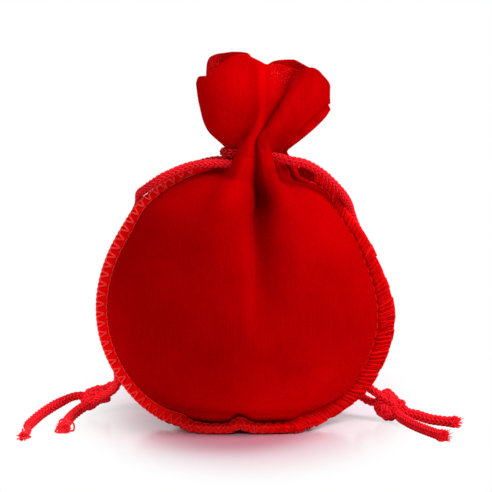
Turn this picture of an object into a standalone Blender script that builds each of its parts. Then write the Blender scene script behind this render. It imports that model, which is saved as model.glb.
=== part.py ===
"""Small drawstring gift pouch: two round-bottomed velvet panels, overlocked together
outside their edge, gathered at the neck by two braided cords and left open above it
as a ruffle of petals. Front faces -Y, up is +Z, and the origin is on its base."""

import math

import bmesh
import bpy
import numpy as np

MM = 0.001

# Cloth and cord sizes, in millimetres
VELVET = 0.9            # thickness of the velvet
LAYER_GAP = 0.3         # between the two layers of the flange
CLEARANCE = 0.3         # between pieces that touch
CORD = 2.1              # diameter of the braided cord
KNOT_RADIUS = 3.4
THREAD_WALL = 0.35      # thickness of the overlock thread over the flange
THREAD_RIDGE = 0.12     # how far each bundle of stitches stands proud
STITCH_START = 0.8      # from the seam line out to the first thread
STITCH_BUNDLES = 58

# The seam line, seen from the front: angle from straight down, radius, about this centre
CENTRE_Z = 31.0
SEAM = [(-175, 33.0), (-136, 33.4), (-120, 32.3), (-105, 32.8), (-90, 33.6), (-70, 34.2),
        (-55, 34.1), (-30, 33.3), (0, 33.0), (24, 32.9), (48, 33.3), (62, 33.0), (83, 32.1),
        (96, 31.1), (110, 30.2), (124, 30.3), (135, 31.0), (145, 33.0), (170, 33.0)]
# How far the stitched flange stands out from the seam line, at each angle
FLANGE = [(-175, 1.2), (-158, 2.0), (-142, 1.7), (-132, 1.9), (-120, 3.0), (-88, 3.1),
          (-60, 3.0), (-40, 3.5), (0, 4.0), (36, 3.4), (60, 4.1), (82, 4.4), (100, 3.4),
          (118, 2.9), (131, 1.6), (146, 1.6), (160, 1.6), (170, 1.0)]
OVERLOCK_ENDS = (-158.0, 152.0)
BASE_ANGLE = 37.0       # the seam within this angle is the panels' lowest edge
SEAM_FORWARD = 9.4      # how far the weight of the pouch pushes the seam forward at the base
FORWARD_FULL, FORWARD_NONE = 14.0, 46.0   # angles between which that push fades

# Rows of each panel from the base seam to under the neck: angle at which the row meets
# the side seam, y and z at the middle, gathering towards the neck, depth of the pleats,
# depth of the fold below the neck
FRONT_ROWS = [(37, -9.0, 2.4, 0, 0, 0), (42, -9.3, 4.8, 0, 0, 0), (53, -16.6, 9.4, 0, 0, 0),
              (70, -19.2, 18.5, 0, 0, 0), (88, -19.8, 28.0, 0, 0, 0.4),
              (106, -18.8, 37.5, 0, 0.03, 1.1), (122, -16.6, 45.5, 0.15, 0.1, 2.2),
              (137, -13.8, 52.0, 0.4, 0.25, 3.0), (150, -10.8, 56.8, 0.8, 0.6, 2.4),
              (161, -8.2, 60.8, 1, 1.1, 0)]
BACK_ROWS = [(37, -9.0, 1.2, 0, 0, 0), (40, -5.0, -0.6, 0, 0, 0), (44, 0.0, -1.5, 0, 0, 0),
             (49, 5.5, -1.5, 0, 0, 0), (56, 10.5, 0.4, 0, 0, 0), (66, 14.5, 6.0, 0, 0, 0),
             (78, 17.2, 14.0, 0, 0, 0), (92, 18.4, 24.0, 0, 0, 0.3),
             (106, 18.0, 34.0, 0, 0.03, 0.9), (121, 16.2, 43.5, 0.15, 0.1, 1.8),
             (136, 13.6, 51.0, 0.4, 0.25, 2.4), (149, 10.8, 56.6, 0.8, 0.6, 1.8),
             (160, 8.2, 60.8, 1, 1.1, 0)]
NECK_SKEW = (4.0, -3.0)  # degrees by which the gathered rows end higher at left, lower at right

# Where each part of the cloth goes across the gathered neck: place across the panel from
# -1 to 1, place across the neck, depth of the pleat there
PLEATS = [(-1, -1, 0), (-0.8, -0.95, 0.2), (-0.6, -0.9, 2.2), (-0.45, -0.84, 2.4),
          (-0.34, -0.77, 4.2), (-0.28, -0.72, 4.0), (-0.22, -0.66, -0.3), (-0.14, -0.5, -1.7),
          (-0.05, -0.25, -1.1), (0.02, -0.05, 0.7), (0.06, 0.04, 1.5), (0.1, 0.12, 0.7),
          (0.17, 0.3, -1.4), (0.24, 0.5, -1.4), (0.29, 0.62, -0.2), (0.35, 0.7, 3.8),
          (0.44, 0.78, 4.2), (0.6, 0.88, 2.2), (0.8, 0.95, 0.3), (1, 1, 0)]
FOLD_AT, FOLD_WIDTH = 0.06, 0.085   # the deep fold below the neck

# The neck and ruffle, as lines of cloth from the neck up to the petals' edge: place
# across the panel, then x, y, z at each height in RISE
RISE = (0.0, 0.15, 0.36, 0.68, 1.0)
FRONT_RUFFLE = [
    (-1.0, [(-3.6, -0.8, 66.3), (-4.9, -0.9, 68.9), (-8.9, -1.1, 72.9), (-10.9, -1.4, 78.8), (-11.6, -1.8, 84.1)]),
    (-0.75, [(-3.4, -1.5, 66.4), (-4.5, -1.5, 69.3), (-8.2, -4.6, 73.7), (-9.6, -6.2, 80.3), (-8.1, -6.2, 86.1)]),
    (-0.5, [(-3.1, -1.2, 66.4), (-3.8, -1.8, 69.6), (-6.0, -6.6, 74.6), (-5.7, -8.6, 82.7), (-4.1, -8.2, 90.6)]),
    (-0.34, [(-2.9, -1.5, 66.4), (-2.9, -2.6, 69.5), (-1.9, -6.2, 74.3), (-1.7, -9.6, 82.7), (-0.7, -9.2, 91.8)]),
    (-0.28, [(-2.6, -1.9, 66.5), (-1.4, -3.4, 69.6), (1.0, -6.0, 73.8), (1.2, -9.8, 82.7), (1.2, -9.4, 91.1)]),
    (-0.21, [(-2.2, -6.6, 66.8), (-0.6, -7.2, 69.8), (2.2, -8.6, 74.3), (3.3, -10.4, 82.1), (2.9, -9.6, 90.3)]),
    (-0.12, [(-0.4, -8.2, 66.9), (0.8, -8.4, 70.4), (3.5, -8.6, 75.0), (4.4, -9.6, 82.0), (4.0, -9.0, 89.5)]),
    (0.0, [(1.6, -7.2, 66.9), (2.0, -7.2, 70.3), (4.2, -7.0, 75.1), (5.5, -7.8, 81.9), (5.2, -7.6, 89.4)]),
    (0.06, [(2.5, -6.0, 66.8), (2.6, -6.0, 70.2), (4.7, -5.8, 75.0), (6.7, -6.6, 81.8), (7.2, -6.4, 90.0)]),
    (0.12, [(3.2, -6.8, 66.8), (3.1, -6.4, 70.2), (5.2, -5.4, 75.0), (9.1, -5.8, 81.8), (11.3, -5.6, 89.8)]),
    (0.18, [(4.2, -8.0, 67.0), (3.8, -8.0, 70.8), (5.6, -8.2, 74.5), (10.3, -8.8, 82.0), (13.1, -8.6, 86.8)]),
    (0.28, [(6.6, -6.8, 67.0), (6.0, -8.2, 70.2), (8.2, -9.2, 75.1), (12.8, -10.0, 82.0), (15.0, -9.6, 87.7)]),
    (0.35, [(7.2, -2.1, 66.7), (7.0, -4.2, 69.7), (9.8, -8.8, 74.7), (14.5, -10.0, 82.0), (16.4, -9.6, 87.5)]),
    (0.45, [(7.7, -1.5, 66.4), (7.9, -2.6, 69.0), (11.2, -7.8, 74.3), (16.4, -9.4, 81.0), (18.1, -9.0, 86.5)]),
    (0.6, [(8.1, -1.2, 66.4), (8.6, -2.2, 68.6), (12.2, -6.6, 73.4), (17.7, -8.2, 79.8), (19.8, -7.8, 83.8)]),
    (0.75, [(8.6, -1.8, 66.4), (9.1, -2.4, 68.2), (12.8, -5.0, 72.7), (17.6, -6.0, 77.9), (19.1, -5.6, 79.8)]),
    (0.87, [(9.0, -1.4, 66.4), (9.6, -1.6, 67.6), (14.0, -2.4, 72.1), (18.4, -2.8, 76.2), (20.0, -2.8, 78.4)]),
    (1.0, [(9.5, -0.8, 66.3), (10.1, -0.8, 67.2), (13.9, -0.8, 70.5), (16.5, -1.0, 72.9), (18.4, -1.2, 75.1)]),
]
BACK_RUFFLE = [
    (-1.0, [(-3.6, 0.8, 66.3), (-4.9, 0.9, 68.8), (-8.9, 1.1, 72.8), (-10.3, 1.4, 78.4), (-10.0, 1.8, 82.6)]),
    (-0.75, [(-3.4, 1.6, 66.3), (-4.6, 1.6, 69.2), (-8.1, 4.2, 73.0), (-9.0, 5.0, 79.8), (-9.1, 5.2, 89.1)]),
    (-0.5, [(-3.1, 1.3, 66.3), (-3.8, 2.0, 69.3), (-5.4, 6.6, 73.5), (-6.4, 8.2, 81.5), (-7.4, 8.0, 90.8)]),
    (-0.35, [(-2.7, 1.9, 66.4), (-2.8, 3.8, 69.2), (-3.6, 7.4, 73.4), (-4.4, 8.8, 81.5), (-5.0, 8.4, 91.2)]),
    (-0.29, [(-2.2, 5.6, 66.5), (-1.8, 6.8, 69.0), (-2.2, 8.2, 73.4), (-2.9, 9.2, 81.5), (-3.2, 8.6, 91.4)]),
    (-0.14, [(0.6, 7.9, 66.6), (0.5, 7.8, 69.2), (0.4, 7.8, 73.6), (0.2, 8.0, 81.6), (0.0, 7.4, 91.2)]),
    (0.0, [(2.6, 6.1, 66.6), (2.4, 6.0, 69.2), (2.4, 5.4, 73.6), (2.8, 5.2, 81.0), (3.4, 5.0, 87.6)]),
    (0.14, [(4.6, 7.9, 66.6), (4.3, 7.8, 69.2), (5.0, 7.8, 73.4), (6.6, 7.8, 81.1), (7.6, 7.2, 89.3)]),
    (0.29, [(7.2, 5.6, 66.5), (6.6, 6.8, 69.0), (8.2, 8.2, 73.2), (10.8, 9.0, 80.7), (11.6, 8.6, 89.5)]),
    (0.35, [(7.7, 1.9, 66.4), (7.4, 3.2, 68.9), (9.6, 7.6, 73.0), (12.6, 8.8, 80.4), (13.6, 8.4, 88.6)]),
    (0.5, [(8.1, 1.3, 66.3), (8.3, 2.2, 68.4), (11.4, 6.6, 72.7), (15.2, 8.2, 80.1), (16.2, 7.8, 87.0)]),
    (0.75, [(8.8, 1.8, 66.3), (9.3, 2.9, 67.9), (12.8, 4.6, 71.9), (17.1, 5.4, 77.8), (19.0, 5.2, 83.4)]),
    (1.0, [(9.5, 0.8, 66.3), (10.1, 0.8, 67.2), (14.1, 0.9, 70.6), (17.6, 1.1, 74.2), (19.6, 1.3, 77.6)]),
]

# Divisions of the cloth: (place across the panel, divisions up to it), and rows
FRONT_ACROSS = [(-1, 0), (-0.36, 9), (-0.2, 3), (0.4, 14), (1, 9)]
BACK_ACROSS = [(-1, 0), (-0.37, 7), (-0.25, 2), (0.25, 8), (0.37, 2), (1, 7)]
FRONT_SLITS = ((-0.31, -0.2), (0.27, 0.38))
BACK_SLITS = ((-0.38, -0.24), (0.24, 0.38))
BODY_DIVISIONS, THROAT_DIVISIONS, RUFFLE_DIVISIONS = 15, 3, 7

# The cords' routes, in millimetres
LEFT_KNOT = (-38.9, 9.7, 3.5)
RIGHT_KNOT = (36.3, 2.8, 3.5)
LEFT_LOOP = [(-35.3, 7.5, 5.6), (-32.8, 5.8, 7.7), (-31.9, 5.0, 10.6), (-32.7, 4.7, 15.0),
             (-34.6, 4.6, 22.0), (-35.0, 4.4, 30.0), (-33.4, 4.2, 40.0), (-29.9, 4.0, 47.5),
             (-26.6, 3.5, 53.6), (-26.0, 1.3, 57.1), (-24.5, -1.4, 58.6), (-22.2, -3.4, 60.4),
             (-19.2, -4.0, 62.2), (-13.3, -4.0, 64.5), (-7.5, -3.9, 65.1), (-3.0, -3.8, 64.9),
             (2.6, -3.8, 64.6), (7.6, -3.9, 64.3), (10.6, -4.0, 64.2), (12.5, -2.4, 64.3),
             (13.1, 0.0, 64.4), (12.5, 2.4, 64.4), (10.6, 4.1, 64.4), (7.6, 4.2, 64.5),
             (2.6, 4.1, 64.7), (-3.0, 4.2, 64.9), (-8.0, 4.8, 64.9), (-14.0, 6.2, 63.0),
             (-19.2, 7.4, 59.8), (-23.6, 8.2, 55.2), (-27.6, 8.6, 49.0), (-30.6, 8.8, 41.0),
             (-32.2, 8.9, 32.0), (-32.6, 8.8, 23.0), (-31.6, 8.6, 15.0), (-31.2, 8.9, 10.6),
             (-32.6, 9.6, 8.0), (-35.2, 10.4, 6.7)]
RIGHT_LOOP = [(32.2, 2.4, 5.7), (30.0, 4.2, 7.0), (29.5, 5.2, 9.8), (31.0, 5.4, 14.0),
              (33.0, 5.2, 20.0), (33.5, 4.9, 28.0), (32.4, 4.6, 35.5), (29.9, 4.2, 43.0),
              (27.1, 3.8, 48.8), (25.8, 2.4, 52.3), (25.1, 0.4, 54.4), (23.9, -1.9, 56.5),
              (21.9, -3.5, 58.9), (18.6, -4.6, 62.0), (14.4, -6.0, 64.7), (10.4, -6.3, 65.8),
              (6.4, -4.6, 66.8), (1.6, -3.8, 67.3), (-2.8, -3.8, 67.5), (-4.8, -3.4, 67.5),
              (-6.1, -1.9, 67.5), (-6.5, 0.0, 67.5), (-6.1, 1.9, 67.5), (-4.8, 3.5, 67.5),
              (-2.8, 4.1, 67.5), (2.6, 4.2, 67.3), (7.6, 4.4, 67.2), (12.0, 6.2, 66.5),
              (17.0, 7.4, 62.4), (21.4, 8.2, 57.6), (25.0, 8.8, 51.0), (27.8, 9.2, 44.0),
              (29.6, 9.4, 35.0), (30.4, 9.6, 26.0), (30.4, 9.4, 18.0), (29.5, 9.0, 11.0),
              (29.4, 8.2, 7.4), (30.9, 6.7, 5.0), (32.8, 5.2, 4.3)]
TAILS = {
    "left_tail_long": [(-43.0, 9.0, 4.4), (-46.5, 5.0, 3.9), (-50.3, 0.0, 2.6), (-52.1, -4.6, 1.5), (-52.9, -10.0, 1.2)],
    "left_tail_short": [(-41.6, 6.6, 2.4), (-43.5, 2.6, 1.5), (-44.5, -2.0, 1.3), (-44.9, -8.0, 1.2)],
    "right_tail_long": [(39.6, 1.6, 2.6), (42.6, 0.4, 1.9), (45.4, -1.2, 1.3), (48.4, -3.0, 1.2), (51.6, -4.8, 1.2)],
    "right_tail_short": [(37.9, -0.3, 2.0), (39.6, -4.6, 1.5), (42.0, -9.6, 1.2), (44.8, -15.2, 1.2), (47.2, -19.6, 1.2)],
}
CORD_SPACING = 6.2
TAIL_SPACING = 5.0
BEND_STEP = math.radians(48)   # a cord has an extra point for each turn of this much

LAYER = (LAYER_GAP + VELVET) / 2
OVERLOCK_HALF = LAYER_GAP / 2 + VELVET + CLEARANCE + THREAD_WALL
SEAM_FLOOR = OVERLOCK_HALF + THREAD_RIDGE + 0.03
FLAT_BASE = VELVET / 2


def through(pairs, at):
    """A smooth curve through (place, value...) rows, that never swings past a value."""
    rows = np.array(pairs, float)
    place, value = rows[:, 0], rows[:, 1:]
    step = np.diff(place)[:, None]
    slope = np.diff(value, axis=0) / step
    tangent = np.vstack([slope[:1], (slope[1:] + slope[:-1]) / 2, slope[-1:]])
    turning = slope[1:] * slope[:-1] <= 0
    tangent[1:-1][turning] = 0
    limit = 3 * np.minimum(np.abs(slope[1:]), np.abs(slope[:-1]))
    tangent[1:-1] = np.clip(tangent[1:-1], -limit, limit)
    at = np.asarray(at, float)
    i = np.clip(np.searchsorted(place, at) - 1, 0, len(place) - 2)
    t = ((at - place[i]) / step[i, 0])[:, None]
    h = step[i]
    return (value[i] * (1 + 2 * t) * (1 - t) ** 2 + value[i + 1] * t * t * (3 - 2 * t)
            + tangent[i] * h * t * (1 - t) ** 2 + tangent[i + 1] * h * t * t * (t - 1))


def fade(value, full, none):
    t = np.clip((none - np.abs(value)) / (none - full), 0, 1)
    return t * t * (3 - 2 * t)


def unit(vectors):
    return vectors / np.linalg.norm(vectors, axis=-1, keepdims=True)


def seam_point(angle):
    """Points of the seam line, pushed forward and held off the floor at the base."""
    a = np.radians(angle)
    radius = through(SEAM, angle)[:, 0]
    free_z = CENTRE_Z - radius * np.cos(a)
    z = SEAM_FLOOR + np.logaddexp(0, (free_z - SEAM_FLOOR) / 1.1) * 1.1
    y = -SEAM_FORWARD * fade(angle, FORWARD_FULL, FORWARD_NONE)
    return np.stack([radius * np.sin(a), y, z], axis=1)


def seam_frame(angle):
    """The direction in which the flange leaves the seam, and its front normal."""
    a = np.radians(angle)
    point = seam_point(angle)
    forward = fade(angle, FORWARD_FULL, FORWARD_NONE)[:, None]
    radial = np.stack([np.sin(a), np.zeros_like(a), -np.cos(a)], axis=1)
    flat = np.stack([0.4 * np.sin(a), -np.ones_like(a), np.zeros_like(a)], axis=1)
    width = through(FLANGE, angle)
    outer = point + unit(radial * (1 - forward) + flat * forward) * width
    outer[:, 2] = np.maximum(outer[:, 2], SEAM_FLOOR)
    out = unit(outer - point)
    along = seam_point(angle + 0.5) - seam_point(angle - 0.5)
    return out, unit(np.cross(out, along))


def across_places(divisions):
    places = [divisions[0][0]]
    for place, count in divisions[1:]:
        places += list(np.linspace(places[-1], place, count + 1)[1:])
    return np.array(places)


def body_rows(rows, side, u):
    """Grid of the panel's body, from the base seam up to under the neck."""
    count = BODY_DIVISIONS + 1
    at = np.concatenate([[0, 1], np.linspace(1.5, len(rows) - 1, count - 2)])
    table = through([(i,) + row for i, row in enumerate(rows)], at)
    angle, mid_y, mid_z, gather, pleat, fold = table.T
    swing = math.pi / 2 * u
    width = np.sin(swing)
    neck = through(PLEATS, u)
    ends = []
    for sign, skew in ((-1, NECK_SKEW[0]), (1, NECK_SKEW[1])):
        end_angle = sign * (angle + skew * gather)
        ends.append(seam_point(end_angle) + side * LAYER * seam_frame(end_angle)[1])
    left, right = ends
    g = gather[:, None]
    share = width * (1 - g) + neck[:, 0] * g
    mix = ((share + 1) / 2)[:, :, None]
    grid = left[:, None, :] * (1 - mix) + right[:, None, :] * mix
    level = (left[:, 2] + right[:, 2]) / 2
    grid[:, :, 2] += (mid_z - level)[:, None] * (1 - share ** 2)
    bulge = np.cos(swing)
    grid[:, :, 1] += (mid_y[:, None] - grid[:, :, 1]) * bulge
    inward = pleat[:, None] * neck[:, 1] + fold[:, None] * np.exp(-((u - FOLD_AT) / FOLD_WIDTH) ** 2)
    grid[:, :, 1] += side * inward
    base_angle = BASE_ANGLE * width
    base = seam_point(base_angle) + side * LAYER * seam_frame(base_angle)[1]
    settle = (1 - np.clip(np.linspace(0, 1, count) / 0.2, 0, 1)) ** 2
    grid += settle[:, None, None] * (base - grid[0])
    if side < 0:
        grid[1:, :, 2] = np.maximum(grid[1:, :, 2], FLAT_BASE)
    side_angles = (-(angle + NECK_SKEW[0] * gather), angle + NECK_SKEW[1] * gather)
    return grid, side_angles, base_angle


def ruffle_rows(lines, u):
    """Grid of the neck and the petals, from lines of cloth that run up the panel."""
    rise = np.linspace(0, 1, RUFFLE_DIVISIONS + 1)
    drawn = [(place, *through([(r, *p) for r, p in zip(RISE, points)], rise).ravel()) for place, points in lines]
    return through(drawn, u).reshape(len(u), len(rise), 3).transpose(1, 0, 2)


def panel(name, rows, lines, divisions, slits, side, material):
    """One cut piece of velvet. Side is 1 for the front panel and -1 for the back one."""
    u = across_places(divisions)
    body, side_angles, base_angle = body_rows(rows, side, u)
    ruffle = ruffle_rows(lines, u)
    t = np.linspace(0, 1, THROAT_DIVISIONS + 1)[1:-1, None, None]
    throat = body[-1] * (1 - t) + ruffle[0] * t
    grid = np.concatenate([body, throat, ruffle])
    height, width = grid.shape[:2]
    first_slit_row = len(body) - 1
    last_slit_row = len(body) + len(throat) + 1
    mesh = bmesh.new()
    verts = [[mesh.verts.new(point * MM) for point in row] for row in grid]
    for i in range(height - 1):
        in_slit_rows = first_slit_row <= i < last_slit_row
        for j in range(width - 1):
            middle = (u[j] + u[j + 1]) / 2
            if in_slit_rows and any(low < middle < high for low, high in slits):
                continue
            mesh.faces.new((verts[i][j], verts[i][j + 1], verts[i + 1][j + 1], verts[i + 1][j]))
    count = len(body)
    edge = [verts[i][0] for i in range(count - 1, 0, -1)] + verts[0] + [verts[i][-1] for i in range(1, count)]
    angle = np.concatenate([side_angles[0][:0:-1], base_angle, side_angles[1][1:]])
    out = seam_frame(angle)[0]
    reach = through(FLANGE, angle) - CLEARANCE - THREAD_WALL
    outer = [mesh.verts.new(np.array(v.co) + o * r * MM) for v, o, r in zip(edge, out, reach)]
    for a, b, c, d in zip(edge, edge[1:], outer[1:], outer):
        mesh.faces.new((a, d, c, b))
    data = bpy.data.meshes.new(name)
    mesh.to_mesh(data)
    mesh.free()
    obj = add_object(name, data, material)
    if side < 0:
        data.flip_normals()
    thick = obj.modifiers.new("velvet_thickness", "SOLIDIFY")
    thick.thickness = VELVET * MM
    thick.offset = 0
    return obj


def overlock(name, material):
    """The band of thread sewn over the flange, with a ridge at each bundle of stitches."""
    angle = np.linspace(*OVERLOCK_ENDS, 2 * STITCH_BUNDLES + 1)
    point = seam_point(angle)
    out, normal = seam_frame(angle)
    reach = through(FLANGE, angle)[:, 0]
    ridge = THREAD_RIDGE * (np.arange(len(angle)) % 2)
    inner = OVERLOCK_HALF - THREAD_WALL
    half = OVERLOCK_HALF + ridge
    start = np.full_like(reach, STITCH_START)
    section = [(start, half), (reach - 0.5, half), (reach + ridge, 0.55 * half), (reach + ridge, -0.55 * half),
               (reach - 0.5, -half), (start, -half), (start, -inner + 0 * half),
               (reach - THREAD_WALL, -inner + 0 * half), (reach - THREAD_WALL, inner + 0 * half),
               (start, inner + 0 * half)]
    mesh = bmesh.new()
    rings = []
    for i in range(len(angle)):
        rings.append([mesh.verts.new((point[i] + out[i] * a[i] + normal[i] * b[i]) * MM) for a, b in section])
    for ring, after in zip(rings, rings[1:]):
        for k in range(len(ring)):
            m = (k + 1) % len(ring)
            mesh.faces.new((ring[k], after[k], after[m], ring[m]))
    mesh.faces.new(rings[0])
    mesh.faces.new(rings[-1][::-1])
    bmesh.ops.recalc_face_normals(mesh, faces=mesh.faces)
    data = bpy.data.meshes.new(name)
    mesh.to_mesh(data)
    mesh.free()
    return add_object(name, data, material)


def smooth_route(points, spacing):
    """Points on a Catmull-Rom curve through a cord's route, closer together in its bends."""
    p = np.array(points, float)
    padded = np.vstack([2 * p[0] - p[1], p, 2 * p[-1] - p[-2]])
    t = np.linspace(0, 1, 20, endpoint=False)[:, None]
    dense = []
    for a, b, c, d in zip(padded, padded[1:], padded[2:], padded[3:]):
        dense.append(b + 0.5 * t * (c - a + t * (2 * a - 5 * b + 4 * c - d + t * (3 * (b - c) + d - a))))
    dense = np.vstack([*dense, p[-1:]])
    step = np.diff(dense, axis=0)
    heading = unit(step)
    bend = np.arccos(np.clip(np.sum(heading[1:] * heading[:-1], axis=1), -1, 1))
    need = np.linalg.norm(step, axis=1) / spacing + np.append(bend, 0) / BEND_STEP
    need = np.concatenate([[0], np.cumsum(need)])
    at = np.linspace(0, need[-1], max(2, round(need[-1])) + 1)
    return np.stack([np.interp(at, need, dense[:, k]) for k in range(3)], axis=1)


def cord(name, points, spacing, material):
    data = bpy.data.curves.new(name, "CURVE")
    data.dimensions = "3D"
    data.bevel_depth = CORD / 2 * MM
    data.bevel_resolution = 2
    data.use_fill_caps = True
    route = smooth_route(points, spacing) * MM
    spline = data.splines.new("POLY")
    spline.points.add(len(route) - 1)
    spline.points.foreach_set("co", np.column_stack([route, np.ones(len(route))]).ravel())
    return add_object(name, data, material)


def knot(name, centre, material):
    """The outer shape of the overhand knot: a ball drawn in round its waist."""
    mesh = bmesh.new()
    bmesh.ops.create_uvsphere(mesh, u_segments=16, v_segments=10, radius=KNOT_RADIUS * MM)
    data = bpy.data.meshes.new(name)
    mesh.to_mesh(data)
    mesh.free()
    obj = add_object(name, data, material)
    obj.location = np.array(centre) * MM
    return obj


def add_object(name, data, material):
    obj = bpy.data.objects.new(name, data)
    data.materials.append(material)
    pouch.objects.link(obj)
    if isinstance(data, bpy.types.Mesh):
        data.shade_smooth()
    return obj


def finish(name, colour, roughness):
    material = bpy.data.materials.new(name)
    material.use_nodes = True
    shader = material.node_tree.nodes["Principled BSDF"]
    shader.inputs["Base Color"].default_value = (*colour, 1)
    shader.inputs["Roughness"].default_value = roughness
    material.diffuse_color = (*colour, 1)
    return material


for old in list(bpy.data.objects):
    bpy.data.objects.remove(old, do_unlink=True)
pouch = bpy.data.collections.new("drawstring_pouch")
bpy.context.scene.collection.children.link(pouch)

panel("front_panel", FRONT_ROWS, FRONT_RUFFLE, FRONT_ACROSS, FRONT_SLITS, 1, finish("front_velvet", (0.50, 0.0, 0.004), 0.95))
panel("back_panel", BACK_ROWS, BACK_RUFFLE, BACK_ACROSS, BACK_SLITS, -1, finish("back_velvet", (0.46, 0.0, 0.004), 0.95))
overlock("edge_overlock", finish("overlock_thread", (0.72, 0.01, 0.02), 0.6))
cord("left_drawcord", LEFT_LOOP, CORD_SPACING, finish("left_cord_braid", (0.78, 0.02, 0.05), 0.5))
cord("right_drawcord", RIGHT_LOOP, CORD_SPACING, finish("right_cord_braid", (0.78, 0.02, 0.05), 0.5))
knot("left_knot", LEFT_KNOT, finish("left_knot_braid", (0.78, 0.02, 0.05), 0.5))
knot("right_knot", RIGHT_KNOT, finish("right_knot_braid", (0.78, 0.02, 0.05), 0.5))
for tail_name, tail_route in TAILS.items():
    cord(tail_name, tail_route, TAIL_SPACING, finish(tail_name + "_braid", (0.78, 0.02, 0.05), 0.5))
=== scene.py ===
# Small drawstring gift pouch in red velvet: cloth, stitching, braided cords, knots, light and camera
import math

import bpy
import numpy as np
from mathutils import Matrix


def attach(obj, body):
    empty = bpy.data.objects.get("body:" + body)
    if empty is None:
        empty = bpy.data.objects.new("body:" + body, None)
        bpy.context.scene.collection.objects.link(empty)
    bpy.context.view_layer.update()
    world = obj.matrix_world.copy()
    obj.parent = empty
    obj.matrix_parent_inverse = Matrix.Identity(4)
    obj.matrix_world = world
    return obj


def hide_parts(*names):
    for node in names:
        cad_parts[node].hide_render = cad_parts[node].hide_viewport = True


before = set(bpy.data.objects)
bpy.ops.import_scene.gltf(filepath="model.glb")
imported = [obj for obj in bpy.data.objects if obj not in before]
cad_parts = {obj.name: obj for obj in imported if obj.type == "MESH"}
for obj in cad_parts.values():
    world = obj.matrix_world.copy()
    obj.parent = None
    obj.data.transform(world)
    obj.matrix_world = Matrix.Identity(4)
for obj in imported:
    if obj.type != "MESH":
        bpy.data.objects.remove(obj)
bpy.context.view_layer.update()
mm = 0.001
rng = np.random.default_rng(7)

# Camera

# millimetres and degrees; the target is about half way up the pouch
cameraView = {"target": (0.0, 0.0, 44.35), "distance": 520.0, "elevation": 8.0, "lens": 155.2,
              "farthest": 10000.0}


def addObject(name, data):
    # new object in the scene
    added = bpy.data.objects.new(name, data)
    bpy.context.scene.collection.objects.link(added)
    return added


def makeCamera(view):
    # stands off in front of the target by the distance, raised by the elevation and turned down to face it
    data = bpy.data.cameras.new("pouchCamera")
    data.lens = view["lens"]
    data.clip_end = view["farthest"] * mm
    camera = addObject("pouchCamera", data)
    tilt = math.radians(view["elevation"])
    x, y, z = view["target"]
    reach = view["distance"]
    camera.location = (x * mm, (y - reach * math.cos(tilt)) * mm, (z + reach * math.sin(tilt)) * mm)
    camera.rotation_euler = (math.pi / 2 - tilt, 0, 0)
    bpy.context.scene.camera = camera


makeCamera(cameraView)
print("camera set")

# Curves, tubes and meshes


def smoothThrough(pairs, at):
    # cubic curve through (place, values...) rows; slopes are limited so it never swings past a value
    rows = np.array(pairs, float)
    place, value = rows[:, 0], rows[:, 1:]
    step = np.diff(place)[:, None]
    slope = np.diff(value, axis=0) / step
    tangent = np.vstack([slope[:1], (slope[1:] + slope[:-1]) / 2, slope[-1:]])
    tangent[1:-1][slope[1:] * slope[:-1] <= 0] = 0
    limit = 3 * np.minimum(np.abs(slope[1:]), np.abs(slope[:-1]))
    tangent[1:-1] = np.clip(tangent[1:-1], -limit, limit)
    at = np.asarray(at, float)
    i = np.clip(np.searchsorted(place, at) - 1, 0, len(place) - 2)
    t = ((at - place[i]) / step[i, 0])[:, None]
    h = step[i]
    ends = value[i] * (1 + 2 * t) * (1 - t) ** 2 + value[i + 1] * t * t * (3 - 2 * t)
    return ends + tangent[i] * h * t * (1 - t) ** 2 + tangent[i + 1] * h * t * t * (t - 1)


def unit(vectors):
    # each vector divided by its length
    return vectors / np.maximum(np.linalg.norm(vectors, axis=-1, keepdims=True), 1e-9)


def ease(t):
    # 0 to 1 with no slope at either end
    t = np.clip(t, 0, 1)
    return t * t * (3 - 2 * t)


def curveThrough(points, spacing):
    # Catmull-Rom curve through a route, read off at equal spacing
    p = np.array(points, float)
    padded = np.vstack([2 * p[0] - p[1], p, 2 * p[-1] - p[-2]])
    t = np.linspace(0, 1, 24, endpoint=False)[:, None, None]
    a, b, c, d = padded[:-3], padded[1:-2], padded[2:-1], padded[3:]
    dense = b + 0.5 * t * (c - a + t * (2 * a - 5 * b + 4 * c - d + t * (3 * (b - c) + d - a)))
    dense = np.vstack([dense.transpose(1, 0, 2).reshape(-1, 3), p[-1:]])
    length = np.concatenate([[0], np.cumsum(np.linalg.norm(np.diff(dense, axis=0), axis=1))])
    at = np.linspace(0, length[-1], int(round(length[-1] / spacing)) + 1)
    return np.stack([np.interp(at, length, dense[:, k]) for k in range(3)], axis=1)


def carriedFrames(path):
    # tangent, side and up at each point, turned as little as possible from one point to the next
    tangent = unit(np.gradient(path, axis=0))
    side = np.cross(tangent[0], (0.31, -0.52, 0.8))
    side /= np.linalg.norm(side)
    sides = np.empty_like(path)
    for i, t in enumerate(tangent):
        side = side - t * side.dot(t)
        side /= np.linalg.norm(side)
        sides[i] = side
    return tangent, sides, np.cross(tangent, sides)


def tubeArrays(path, radius, sides):
    # a round section carried along a path: point = path + radius * (cos a * side + sin a * up), ends closed
    path = np.asarray(path, float)
    _, side, up = carriedFrames(path)
    angle = np.linspace(0, 2 * math.pi, sides, endpoint=False)
    radius = np.broadcast_to(radius, (len(path), sides)) if np.ndim(radius) != 1 else radius[:, None]
    ring = side[:, None] * np.cos(angle)[:, None] + up[:, None] * np.sin(angle)[:, None]
    points = path[:, None] + ring * np.asarray(radius)[..., None]
    return loftArrays(points)


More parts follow.
